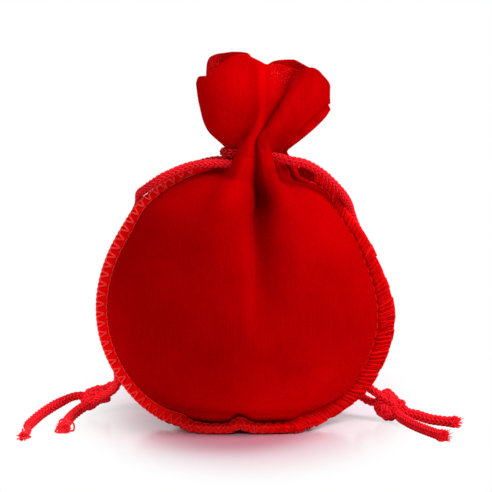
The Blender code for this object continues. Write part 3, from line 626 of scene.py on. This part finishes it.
frontPanel = {
    "side": 1, "sparkleAt": (9.5, -6.5, 87.5, 3.6, 6.0, 2.6),
    # x, z, half width, half height and change of the patches of painted light and shade, with some brushed
    # pile
    "paintedLightAndPile": [(4.0, 80.0, 22.0, 13.0, 0.34), (-3.0, 88.0, 10.0, 6.0, 0.38), (3.0, 82.0, 2.0, 9.0, 0.2),
                (9.0, 71.0, 4.0, 3.5, -0.12), (4.4, 57.5, 3.4, 5.5, -0.6), (3.6, 46.0, 3.6, 8.0, -0.06),
                (10.0, 48.0, 3.0, 8.0, -0.16), (20.0, 40.0, 8.0, 8.0, -0.06), (22.0, 14.0, 8.0, 8.0, 0.16),
                (-13.0, 43.0, 7.0, 12.0, -0.2), (1.0, 26.0, 7.0, 6.0, 0.08), (3.5, 5.0, 16.0, 8.0, 0.8),
                (4.8, 81.0, 1.5, 8.0, -0.3), (-0.5, 83.0, 3.2, 9.0, 0.26), (-3.0, 74.0, 3.0, 4.0, 0.12),
                (-5.0, 88.0, 4.5, 4.5, 0.18), (-5.5, 71.0, 3.0, 3.0, 0.2), (-3.6, 60.5, 3.0, 5.0, 0.4),
                (15.0, 82.5, 5.0, 5.0, 0.14), (11.5, 62.6, 3.2, 1.4, -0.3), (-7.5, 62.8, 4.5, 1.0, -0.55),
                (10.0, 63.7, 3.4, 0.9, -0.55),
                (12.0, 84.5, 1.5, 3.6, 0.3), (9.6, 79.8, 1.4, 3.2, 0.3), (7.0, 75.6, 1.2, 2.6, 0.22),
                (9.4, 86.0, 1.5, 3.6, -0.2), (7.2, 80.6, 1.2, 3.0, -0.2),
                (18.4, 77.4, 1.6, 1.8, 0.5), (15.4, 73.6, 1.8, 2.0, 0.6), (12.2, 70.4, 1.8, 1.8, 0.6)],
    # angle where the row meets the side seam, y and z at the middle, gathering, pleat depth, fold depth
    "rows": [(37, -9.4, 2.2, 0, 0, 0), (42, -9.7, 4.3, 0, 0, 0), (53, -16.6, 9.4, 0, 0, 0),
             (70, -19.2, 18.5, 0, 0, 0), (88, -19.8, 28.0, 0, 0, 0.4), (106, -19.0, 37.5, 0, 0.03, 2.2),
             (122, -17.4, 45.5, 0.15, 0.1, 4.4), (137, -14.8, 52.0, 0.4, 0.25, 5.6),
             (150, -11.4, 56.8, 0.8, 0.6, 3.6), (161, -8.2, 60.8, 1, 1.1, 0.6)],
    # a line of cloth in each row: place across the panel, then x, y and z at each step of "rise"
    "ruffle": [
        (-1.0, -3.6, -0.8, 66.3, -4.9, -0.9, 68.9, -8.9, -1.1, 72.9, -10.9, -1.4, 78.8, -11.8, -1.8, 84.3),
        (-0.93, -3.5, -1.0, 66.3, -4.8, -1.1, 69.0, -8.7, -2.1, 73.2, -10.7, -2.7, 79.4, -11.3, -2.9, 85.8),
        (-0.75, -3.4, -1.5, 66.4, -4.5, -1.5, 69.3, -8.2, -4.6, 73.7, -9.6, -6.2, 80.3, -9.0, -6.2, 86.6),
        (-0.5, -3.1, -1.2, 66.4, -3.8, -1.8, 69.6, -6.0, -6.6, 74.6, -5.7, -8.6, 82.7, -4.1, -8.2, 90.6),
        (-0.34, -2.9, -1.5, 66.4, -2.9, -2.6, 69.5, -1.9, -6.2, 74.3, -1.7, -9.4, 82.7, -0.7, -9.0, 91.8),
        (-0.28, -2.6, -1.9, 66.5, -1.4, -3.4, 69.6, 1.0, -6.0, 73.8, 1.2, -9.8, 82.7, 1.2, -9.4, 91.1),
        (-0.21, -2.2, -6.6, 66.8, -0.6, -7.2, 69.8, 2.2, -8.6, 74.3, 3.3, -10.4, 82.1, 2.9, -9.6, 90.3),
        (-0.12, -0.4, -8.2, 66.9, 0.8, -8.4, 70.4, 3.4, -8.3, 75.0, 4.5, -9.8, 82.0, 4.1, -9.1, 89.5),
        (0.0, 1.6, -7.2, 66.9, 2.0, -7.2, 70.3, 4.1, -7.4, 75.1, 5.8, -8.9, 81.9, 5.4, -8.3, 89.3),
        (0.06, 2.5, -6.0, 66.8, 2.6, -6.0, 70.2, 4.6, -6.4, 75.0, 7.2, -7.8, 81.8, 7.3, -7.2, 89.3),
        (0.12, 3.2, -6.8, 66.8, 3.1, -6.4, 70.2, 5.2, -5.6, 75.0, 9.4, -6.2, 81.8, 11.2, -5.8, 88.2),
        (0.18, 3.8, -8.0, 67.0, 3.2, -8.0, 70.8, 5.6, -8.2, 74.5, 10.3, -8.8, 82.0, 12.9, -8.6, 87.7),
        (0.28, 5.7, -7.0, 67.0, 4.5, -8.4, 70.2, 7.8, -9.3, 75.1, 12.8, -10.0, 82.0, 15.0, -9.6, 88.6),
        (0.35, 6.6, -2.6, 66.7, 5.8, -6.6, 69.7, 9.4, -9.0, 74.7, 14.4, -10.0, 82.0, 16.4, -9.6, 88.4),
        (0.45, 7.4, -1.5, 66.4, 7.4, -4.8, 69.2, 10.8, -8.4, 74.3, 16.2, -9.4, 81.0, 18.0, -9.0, 87.0),
        (0.6, 7.8, -1.6, 66.4, 8.2, -4.4, 69.0, 11.8, -7.8, 73.8, 17.2, -8.6, 79.6, 20.0, -8.2, 83.9),
        (0.72, 7.9, -1.8, 66.5, 8.6, -4.2, 68.7, 12.2, -7.0, 73.4, 17.5, -7.8, 78.5, 20.0, -7.6, 80.2),
        (0.78, 8.0, -1.6, 66.6, 8.6, -3.0, 68.9, 12.1, -5.4, 73.7, 17.3, -6.0, 78.8, 19.5, -5.8, 80.1),
        (0.88, 8.3, -1.5, 66.7, 8.9, -2.8, 68.5, 13.0, -4.9, 72.9, 17.9, -5.5, 77.5, 19.9, -5.4, 79.2),
        (1.0, 8.8, -1.4, 66.8, 9.6, -2.6, 67.9, 14.2, -4.6, 71.7, 18.6, -5.0, 75.9, 20.2, -5.0, 78.3),
    ],
}
backPanel = {
    "side": -1, "sparkleAt": (-7.5, 7.0, 87.5, 2.6, 6.0, 3.6),
    # a patch of painted shade on the back petal's top
    "paintedLightAndPile": [(-6.5, 87.0, 6.0, 8.0, -0.2)],
    "rows": [(37, -9.4, 0.8, 0, 0, 0), (40, -5.0, -0.6, 0, 0, 0), (44, 0.0, -1.5, 0, 0, 0),
             (49, 5.5, -1.5, 0, 0, 0), (56, 10.5, 0.4, 0, 0, 0), (66, 14.5, 6.0, 0, 0, 0),
             (78, 17.2, 14.0, 0, 0, 0), (92, 18.4, 24.0, 0, 0, 0.3), (106, 18.0, 34.0, 0, 0.03, 0.9),
             (121, 16.2, 43.5, 0.15, 0.1, 1.8), (136, 13.6, 51.0, 0.4, 0.25, 2.4),
             (149, 10.8, 56.6, 0.8, 0.6, 1.8), (160, 8.2, 60.8, 1, 1.1, 0)],
    # a line of cloth in each row: place across the panel, then x, y and z at each step of "rise"
    "ruffle": [
        (-1.0, -3.6, 0.8, 66.3, -4.9, 0.9, 68.8, -8.9, 1.1, 72.8, -9.8, 1.4, 78.4, -9.4, 1.8, 84.0),
        (-0.75, -3.4, 1.6, 66.3, -4.6, 1.6, 69.2, -8.1, 4.2, 73.0, -9.0, 5.0, 79.8, -9.1, 5.2, 89.1),
        (-0.5, -3.1, 1.3, 66.3, -3.8, 2.0, 69.3, -5.4, 6.6, 73.5, -6.4, 8.2, 81.5, -7.4, 8.0, 90.8),
        (-0.35, -2.7, 1.9, 66.4, -2.8, 3.8, 69.2, -3.6, 7.4, 73.4, -4.4, 8.8, 81.5, -5.0, 8.4, 91.2),
        (-0.29, -2.2, 5.6, 66.5, -1.8, 6.8, 69.0, -2.2, 8.2, 73.4, -2.9, 9.2, 81.5, -3.2, 8.6, 91.4),
        (-0.14, 0.6, 7.9, 66.6, 0.5, 7.8, 69.2, 0.4, 7.8, 73.6, 0.2, 8.0, 81.6, 0.0, 7.4, 91.2),
        (0.0, 2.6, 6.1, 66.6, 2.4, 6.0, 69.2, 2.4, 5.4, 73.6, 2.8, 5.2, 81.0, 3.4, 5.0, 87.6),
        (0.14, 4.6, 7.9, 66.6, 4.3, 7.8, 69.2, 5.0, 7.8, 73.4, 6.6, 7.8, 81.1, 7.6, 7.2, 89.3),
        (0.29, 7.2, 5.6, 66.5, 6.6, 6.8, 69.0, 8.2, 8.2, 73.2, 10.8, 9.0, 80.7, 11.6, 8.6, 89.5),
        (0.35, 7.7, 1.9, 66.4, 7.4, 3.2, 68.9, 9.6, 7.6, 73.0, 12.6, 8.8, 80.4, 13.6, 8.4, 88.6),
        (0.5, 8.1, 1.3, 66.3, 8.3, 2.2, 68.4, 11.4, 6.6, 72.7, 15.2, 8.2, 80.1, 16.2, 7.8, 87.0),
        (0.75, 8.8, 1.8, 66.3, 9.3, 2.9, 67.9, 12.8, 4.6, 71.9, 17.1, 5.4, 77.8, 19.0, 5.2, 83.4),
        (1.0, 12.4, 0.8, 64.4, 9.7, 0.3, 67.5, 13.6, -0.2, 71.3, 17.7, -0.2, 75.6, 19.8, 0.2, 78.7),
    ],
}


def acrossPlaces():
    # finer in the middle, where the folds are
    t = np.linspace(-1, 1, panelMake["across"])
    return t * 0.72 + 0.28 * t ** 3


def bodyGrid(panel, u):
    # rows of cloth from the base seam to under the neck: each spans the seam's two sides on a sine, bulges
    # forward as a cosine, and is pleated towards the neck
    side, rows = panel["side"], panel["rows"]
    at = np.linspace(0, 1, panelMake["bodyRows"]) ** 1.15 * (len(rows) - 1)
    angle, midY, midZ, gather, pleat, fold = smoothThrough([(i,) + r for i, r in enumerate(rows)], at).T
    swing = math.pi / 2 * u
    neck = smoothThrough(panelMake["pleats"], u)
    angles = [sign * (angle + skew * gather) for sign, skew in zip((-1, 1), panelMake["skew"])]
    offset = side * panelMake["layer"]
    left, right = [seamPoint(a) + offset * seamFrame(a)[1] for a in angles]
    g = gather[:, None]
    share = np.sin(swing) * (1 - g) + neck[:, 0] * g
    mix = ((share + 1) / 2)[:, :, None]
    grid = left[:, None] * (1 - mix) + right[:, None] * mix
    level = (left[:, 2] + right[:, 2]) / 2
    grid[:, :, 2] += (midZ - level)[:, None] * (1 - share ** 2)
    grid[:, :, 1] += (midY[:, None] - grid[:, :, 1]) * np.cos(swing)
    steep, gentle = panelMake["foldWidth"]
    away = u - panelMake["foldAt"]
    ripple = np.exp(-(away / np.where(away < 0, steep, gentle)) ** 2)
    grid[:, :, 1] += side * (pleat[:, None] * neck[:, 1] + fold[:, None] * ripple)
    baseAngle = rows[0][0] * np.sin(swing)
    base = seamPoint(baseAngle) + offset * seamFrame(baseAngle)[1]
    settle = (1 - np.clip(at / 2, 0, 1)) ** 2
    grid += settle[:, None, None] * (base - grid[0])
    return grid, angles, baseAngle


def ruffleGrid(panel, u, steps):
    # lines of cloth from the neck up to the petals' edge, with smooth cloth between them
    rise = np.linspace(0, 1, steps)
    drawn = []
    for place, *line in panel["ruffle"]:
        points = np.reshape(line, (-1, 3))
        drawn.append((place, *smoothThrough(np.column_stack([panelMake["rise"], points]), rise).ravel()))
    return smoothThrough(drawn, u).reshape(len(u), steps, 3).transpose(1, 0, 2)


def panelArrays(panel):
    # body, throat and ruffle as one grid of cloth, then a flange that leaves its seam: seam + out * width
    side = panel["side"]
    u = acrossPlaces()
    body, angles, baseAngle = bodyGrid(panel, u)
    ruffle = ruffleGrid(panel, u, panelMake["ruffleRows"])
    t = np.linspace(0, 1, panelMake["throatRows"] + 2)[1:-1, None, None]
    grid = np.concatenate([body, body[-1] * (1 - t) + ruffle[0] * t, ruffle])
    if side < 0:
        grid[1:, :, 2] = np.maximum(grid[1:, :, 2], panelMake["velvet"] / 2 + 0.02)
    rows, columns = grid.shape[:2]
    count = len(body)
    # painted light and shade from the patches: brighter petals and base, a darker valley and dark lines under
    # the cords
    tone = paintedLightTone(grid, panel["paintedLightAndPile"])
    # painted shade along the front panel's base, where the belly overhangs the flange
    if side > 0:
        above = np.linalg.norm(grid - grid[0], axis=2) / panelMake["paintedCreaseShadeHigh"]
        tone *= 1 - smoothThrough(panelMake["paintedCreaseShade"], u)[:, 0] * np.exp(-above ** 4)
    index = np.arange(rows * columns).reshape(rows, columns)
    quads = np.stack([index[:-1, :-1], index[:-1, 1:], index[1:, 1:], index[1:, :-1]], axis=-1).reshape(-1, 4)
    edge = np.concatenate([index[count - 1:0:-1, 0], index[0], index[1:count, -1]])
    angle = np.concatenate([angles[0][:0:-1], baseAngle, angles[1][1:]])
    out, _ = seamFrame(angle)
    width = smoothThrough(seamMake["flange"], angle) - panelMake["flangeShort"]
    shares = np.linspace(0, 1, 7)[1:]
    flange = grid.reshape(-1, 3)[edge][None] + out[None] * width[None] * shares[:, None, None]
    strip = np.vstack([edge[None], rows * columns + np.arange(flange[..., 0].size).reshape(len(shares), -1)])
    stripQuads = np.stack([strip[:-1, :-1], strip[1:, :-1], strip[1:, 1:], strip[:-1, 1:]], axis=-1)
    vertices = np.vstack([grid.reshape(-1, 3), flange.reshape(-1, 3)])
    quads = np.vstack([quads, stripQuads.reshape(-1, 4)])
    if side < 0:
        quads = quads[:, ::-1]
    spot = panel["sparkleAt"]
    away = np.linalg.norm((vertices - spot[:3]) / spot[3:], axis=1)
    # the flange's tone along the seam: crushed pile, painted light at the left and painted shade by the neck
    flangePileAndPaintedLight = np.tile(smoothThrough(panelMake["flangePileAndPaintedLight"], angle)[:, 0], len(shares))
    tone = np.concatenate([tone.ravel(), flangePileAndPaintedLight])
    return (vertices, quads, np.zeros((0, 3), int)), panelMake["sparkle"] * ease(1.6 - away), tone


def paintedLightTone(points, patches):
    # painted light and shade, with some brushed pile, in soft patches: 1 + change * exp(-distance squared)
    tone = np.ones(points.shape[:-1])
    for x, z, wide, high, change in patches:
        away = ((points[..., 0] - x) / wide) ** 2 + ((points[..., 2] - z) / high) ** 2
        tone += change * np.exp(-away)
    return tone


def makePanel(name, panel, node, material):
    # one sheet of cloth thickened to velvet, with its reverse and its cut edge in their own materials
    arrays, sparkle, paintedLightAndPile = panelArrays(panel)
    piece = makePiece(name, arrays, material, {"sparkle": sparkle, "paintedLightAndPile": paintedLightAndPile})
    piece.data.materials.append(velvetReverse)
    piece.data.materials.append(velvetEdge)
    thick = piece.modifiers.new("velvetThickness", "SOLIDIFY")
    thick.thickness = panelMake["velvet"] * mm
    thick.offset = 0
    thick.material_offset = 1
    thick.material_offset_rim = 2
    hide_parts(node)
    return piece


makePanel("frontPanelVelvet", frontPanel, "front_panel", velvetFront)
makePanel("backPanelVelvet", backPanel, "back_panel", velvetBack)
print("panels cut and gathered")

# Overlock stitching round the flange

# angles along the seam, then millimetres: open stitches as far as denseFrom, and packed ones after it
overlockMake = {"from": -158.0, "to": 152.0, "denseFrom": 20.0, "pitch": 2.3, "thread": 0.24, "half": 0.92,
                "densePitch": 0.52, "denseThread": 0.3, "ridge": 1.15, "purl": 1.15, "purlStep": 0.2,
                "needlePitch": 2.3, "needleThread": 0.132, "thinFull": 18, "thinNone": 50}


def flangePoint(angle, share, lift):
    # place on the flange: share runs from the seam to the cut edge, lift is along the front normal
    out, normal = seamFrame(angle)
    width = smoothThrough(seamMake["flange"], angle)
    return seamPoint(angle) + out * width * share[:, None] + normal * lift[:, None]


def anglesByLength(start, stop, count):
    # angles that step evenly along the seam
    angle = np.linspace(start, stop, 1200)
    length = np.concatenate([[0], np.cumsum(np.linalg.norm(np.diff(seamPoint(angle), axis=0), axis=1))])
    return np.interp(np.linspace(0, length[-1], count), length, angle), length[-1]


def zigzagThread(start, stop, pitch, face, radius):
    # one thread on one face of the flange: in from the edge, out again, and along the edge to the next
    # stitch; its share of the flange is 0.97 less a triangle wave, and it sinks at the edge
    _, length = anglesByLength(start, stop, 2)
    steps = 24
    count = int(length / pitch) * steps
    angle, _ = anglesByLength(start, stop, count)
    phase = np.arange(count) / steps % 1
    reach = np.clip(1 - np.abs(phase / 0.27 - 1), 0, 1)
    share = 0.97 - 0.66 * reach ** 0.9
    lift = face * (overlockMake["half"] + 0.08 - 0.3 * ease((share - 0.82) / 0.15))
    thinner = 1 - 0.45 * fade(angle, overlockMake["thinFull"], overlockMake["thinNone"])
    return tubeArrays(flangePoint(angle, share, lift), radius * thinner, 6)


def denseThread(start, stop, pitch, radius):
    # one thread wound round the flange, over the front, the edge and the back, bunched into uneven ridges:
    # a squared-off circle of share and lift, slanted along the seam
    _, length = anglesByLength(start, stop, 2)
    turns = int(length / pitch)
    steps = 18
    count = turns * steps
    step = np.arange(count) / steps
    angle, _ = anglesByLength(start, stop, count)
    turn = step * 2 * math.pi
    uneven = np.interp(step, np.arange(turns + 1), rng.normal(0, 1, turns + 1))
    ridge = 0.5 + 0.5 * np.cos(step * pitch / overlockMake["ridge"] * 2 * math.pi + uneven * 1.1)
    squareCos = np.sign(np.cos(turn)) * np.abs(np.cos(turn)) ** 0.45
    squareSin = np.sign(np.sin(turn)) * np.abs(np.sin(turn)) ** 0.55
    share = 0.61 + 0.38 * squareCos + (0.07 * ridge + 0.03 * uneven) * squareCos
    lift = (overlockMake["half"] + 0.18 * ridge + 0.05 * uneven) * squareSin
    slant = (1.6 + 0.5 * uneven) * squareCos * np.sign(squareSin)
    wound = tubeArrays(flangePoint(angle + slant, share, lift), radius * (0.85 + 0.2 * ridge), 6)
    # its tone is lighter on the ridges, as painted light, and varies a little at random
    return wound, np.append(np.repeat(0.3 + 0.16 * ridge + 0.05 * uneven, 6), (0.3, 0.3))


def edgePurl(start, stop, radius):
    # the loops that lock the stitches together, as a helix along the cut edge
    _, length = anglesByLength(start, stop, 2)
    step = overlockMake["purlStep"]
    count = int(length / step)
    angle, _ = anglesByLength(start, stop, count)
    turn = np.arange(count) * step / overlockMake["purl"] * 2 * math.pi
    place = flangePoint(angle, 0.985 + 0.03 * np.cos(turn), 0.5 * np.sin(turn))
    thinner = 1 - 0.4 * fade(angle, overlockMake["thinFull"], overlockMake["thinNone"])
    return tubeArrays(place, radius * thinner, 6)


def needleLine(start, stop, pitch, radius):
    # short straight stitches just inside the flange, which dip through the cloth between one and the next
    _, length = anglesByLength(start, stop, 2)
    steps = 12
    count = int(length / pitch) * steps
    angle, _ = anglesByLength(start, stop, count)
    phase = np.arange(count) / steps % 1
    lift = overlockMake["half"] + 0.06 - 0.5 * ease((np.abs(phase - 0.5) - 0.36) / 0.14)
    share = 0.04 + 0.08 * np.abs(np.sin(math.pi * phase)) + 0.07 * ease((10 - angle) / 10)
    return tubeArrays(flangePoint(angle, share, lift), radius, 6)


def makeOverlock():
    # open zigzag on both faces, the looped edge, the needle line and the packed thread wound round the flange
    # as one piece; the thread's colour is darker at the base, to the right and in the hollow under the right
    # shoulder's cord, as painted shade
    parts = []
    thread = overlockMake["thread"]
    openFrom, openTo, closeTo = overlockMake["from"], overlockMake["denseFrom"], overlockMake["to"]
    for face in (1, -1):
        parts.append(zigzagThread(openFrom, openTo, overlockMake["pitch"], face, thread))
    parts.append(edgePurl(openFrom, closeTo, thread))
    parts.append(needleLine(openFrom, closeTo, overlockMake["needlePitch"], overlockMake["needleThread"]))
    wound, woundTone = denseThread(openTo, closeTo, overlockMake["densePitch"], overlockMake["denseThread"])
    arrays = joinArrays([*parts, wound])
    x, _, z = arrays[0].T
    # painted shade: darker at the base under the belly and to the right
    strand = 1 - 0.3 * ease((9 - z) / 5) - 0.4 * ease(x / 15)
    strand[-len(woundTone):] = woundTone
    # painted shade in the hollow under the right shoulder's cord
    strand *= 1 - 0.5 * ease((z - 61.2) / 1.6) * ease((x - 4) / 3)
    piece = makePiece("overlockStitching", arrays, overlockThread, {"strand": strand})
    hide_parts("edge_overlock")
    return piece


makeOverlock()
print("edge overlocked")

# Floor, backdrop and light

# metres, degrees and watts: the floor's two colours, the near one with painted reflection and shade, and
# their ovals, the soft room, the key lamp and the side lamp
stageLook = {
    # near is the floor beside the pouch, with the red pouch's painted reflection and painted shade; far is
    # the floor further off
    "near": (0.58, 0.29, 0.38), "far": (0.74, 0.59, 0.68), "gloss": 0.75, "rough": 0.2, "floor": 3.0,
    "nearFrom": 0.024, "nearTo": 0.042, "nearScale": (1.3, 1.0, 1.0), "nearPlace": (0.01, 0.0, 0.0),
    "clearFrom": 0.045, "clearTo": 0.09, "clearScale": (1.9, 1.0, 1.0), "clearPlace": (0.0, -0.026, 0.0),
    "white": 1.0, "fill": 0.66,
    "key": 1.2, "keyTurn": 60.0, "keyRise": 45.0, "keyAway": 0.33, "keySize": 0.2, "keyAim": (0.0, 0.0, 0.06),
    "side": 3.2, "sideFrom": (-0.22, -0.25, 0.16), "sideAim": (-0.044, 0.003, 0.003), "sideCone": 9.5,
    "sideSize": 0.02,
}


def roundMask(tree, look, part):
    # 0 inside an oval of floor and 1 outside it: smooth step of the length of the scaled and moved place
    place = tree.nodes.new("ShaderNodeTexCoord")
    squeeze = tree.nodes.new("ShaderNodeMapping")
    squeeze.inputs["Scale"].default_value = look[part + "Scale"]
    squeeze.inputs["Location"].default_value = look[part + "Place"]
    tree.links.new(place.outputs["Object"], squeeze.inputs["Vector"])
    reach = tree.nodes.new("ShaderNodeVectorMath")
    reach.operation = "LENGTH"
    tree.links.new(squeeze.outputs["Vector"], reach.inputs[0])
    step = tree.nodes.new("ShaderNodeMapRange")
    step.interpolation_type = "SMOOTHSTEP"
    step.inputs["From Min"].default_value = look[part + "From"]
    step.inputs["From Max"].default_value = look[part + "To"]
    tree.links.new(reach.outputs["Value"], step.inputs["Value"])
    return step.outputs["Result"]


def makeFloor(look):
    # a pale, slightly glossy table, pinker and darker beside the pouch as painted reflection and shade; seen
    # by the camera it goes to white further off
    material, tree, shader = startMaterial("paleFloor")
    floorWithPaintedShade = colourRamp(tree, roundMask(tree, look, "near"), [(0.0, look["near"]), (1.0, look["far"])])
    tree.links.new(floorWithPaintedShade, shader.inputs["Base Color"])
    shader.inputs["Roughness"].default_value = look["rough"]
    shader.inputs["Specular IOR Level"].default_value = look["gloss"]
    rays = tree.nodes.new("ShaderNodeLightPath")
    white = tree.nodes.new("ShaderNodeEmission")
    white.inputs["Strength"].default_value = look["white"]
    share = mathNode(tree, "MULTIPLY", rays.outputs["Is Camera Ray"], roundMask(tree, look, "clear"))
    mixSurface(tree, share, shader.outputs[0], white.outputs[0], tree.nodes["Material Output"])
    size = look["floor"]
    mesh = bpy.data.meshes.new("paleFloor")
    corners = [(-size, -size, 0), (size, -size, 0), (size, size, 0), (-size, size, 0)]
    mesh.from_pydata(corners, [], [(0, 1, 2, 3)])
    mesh.materials.append(material)
    addObject("paleFloor", mesh)


def makeWorld(look):
    # even white light at the fill strength, seen by the camera and in gloss as plain white
    world = bpy.data.worlds.new("softRoom")
    bpy.context.scene.world = world
    world.use_nodes = True
    tree = world.node_tree
    background = tree.nodes["Background"]
    background.inputs["Color"].default_value = (1, 1, 1, 1)
    background.inputs["Strength"].default_value = look["fill"]
    plain = tree.nodes.new("ShaderNodeBackground")
    plain.inputs["Color"].default_value = (1, 1, 1, 1)
    plain.inputs["Strength"].default_value = look["white"]
    rays = tree.nodes.new("ShaderNodeLightPath")
    seen = mathNode(tree, "MAXIMUM", rays.outputs["Is Camera Ray"], rays.outputs["Is Glossy Ray"])
    mixSurface(tree, seen, background.outputs[0], plain.outputs[0], tree.nodes["World Output"])


def makeKey(look):
    # round soft lamp; turn is degrees to the right of the camera and rise is degrees above the floor
    turn, rise = math.radians(look["keyTurn"]), math.radians(look["keyRise"])
    data = bpy.data.lights.new("softKey", "AREA")
    data.shape = "DISK"
    data.size = look["keySize"]
    data.energy = look["key"]
    lamp = addObject("softKey", data)
    away = np.array([math.cos(rise) * math.sin(turn), -math.cos(rise) * math.cos(turn), math.sin(rise)])
    lamp.location = np.array(look["keyAim"]) + away * look["keyAway"]
    lamp.rotation_euler = (math.pi / 2 - rise, 0, turn)


def makeSide(look):
    # small lamp that brings the knot in the pouch's shadow up to the level of the rest
    data = bpy.data.lights.new("sideLamp", "SPOT")
    data.energy = look["side"]
    data.spot_size = math.radians(look["sideCone"])
    data.spot_blend = 1.0
    data.shadow_soft_size = look["sideSize"]
    lamp = addObject("sideLamp", data)
    lamp.location = look["sideFrom"]
    x, y, z = np.array(look["sideAim"]) - np.array(look["sideFrom"])
    lamp.rotation_euler = (math.pi / 2 - math.atan2(-z, math.hypot(x, y)), 0, math.atan2(y, x) - math.pi / 2)


makeFloor(stageLook)
makeWorld(stageLook)
makeKey(stageLook)
makeSide(stageLook)
bpy.context.scene.view_settings.view_transform = "Standard"
print("stage set")
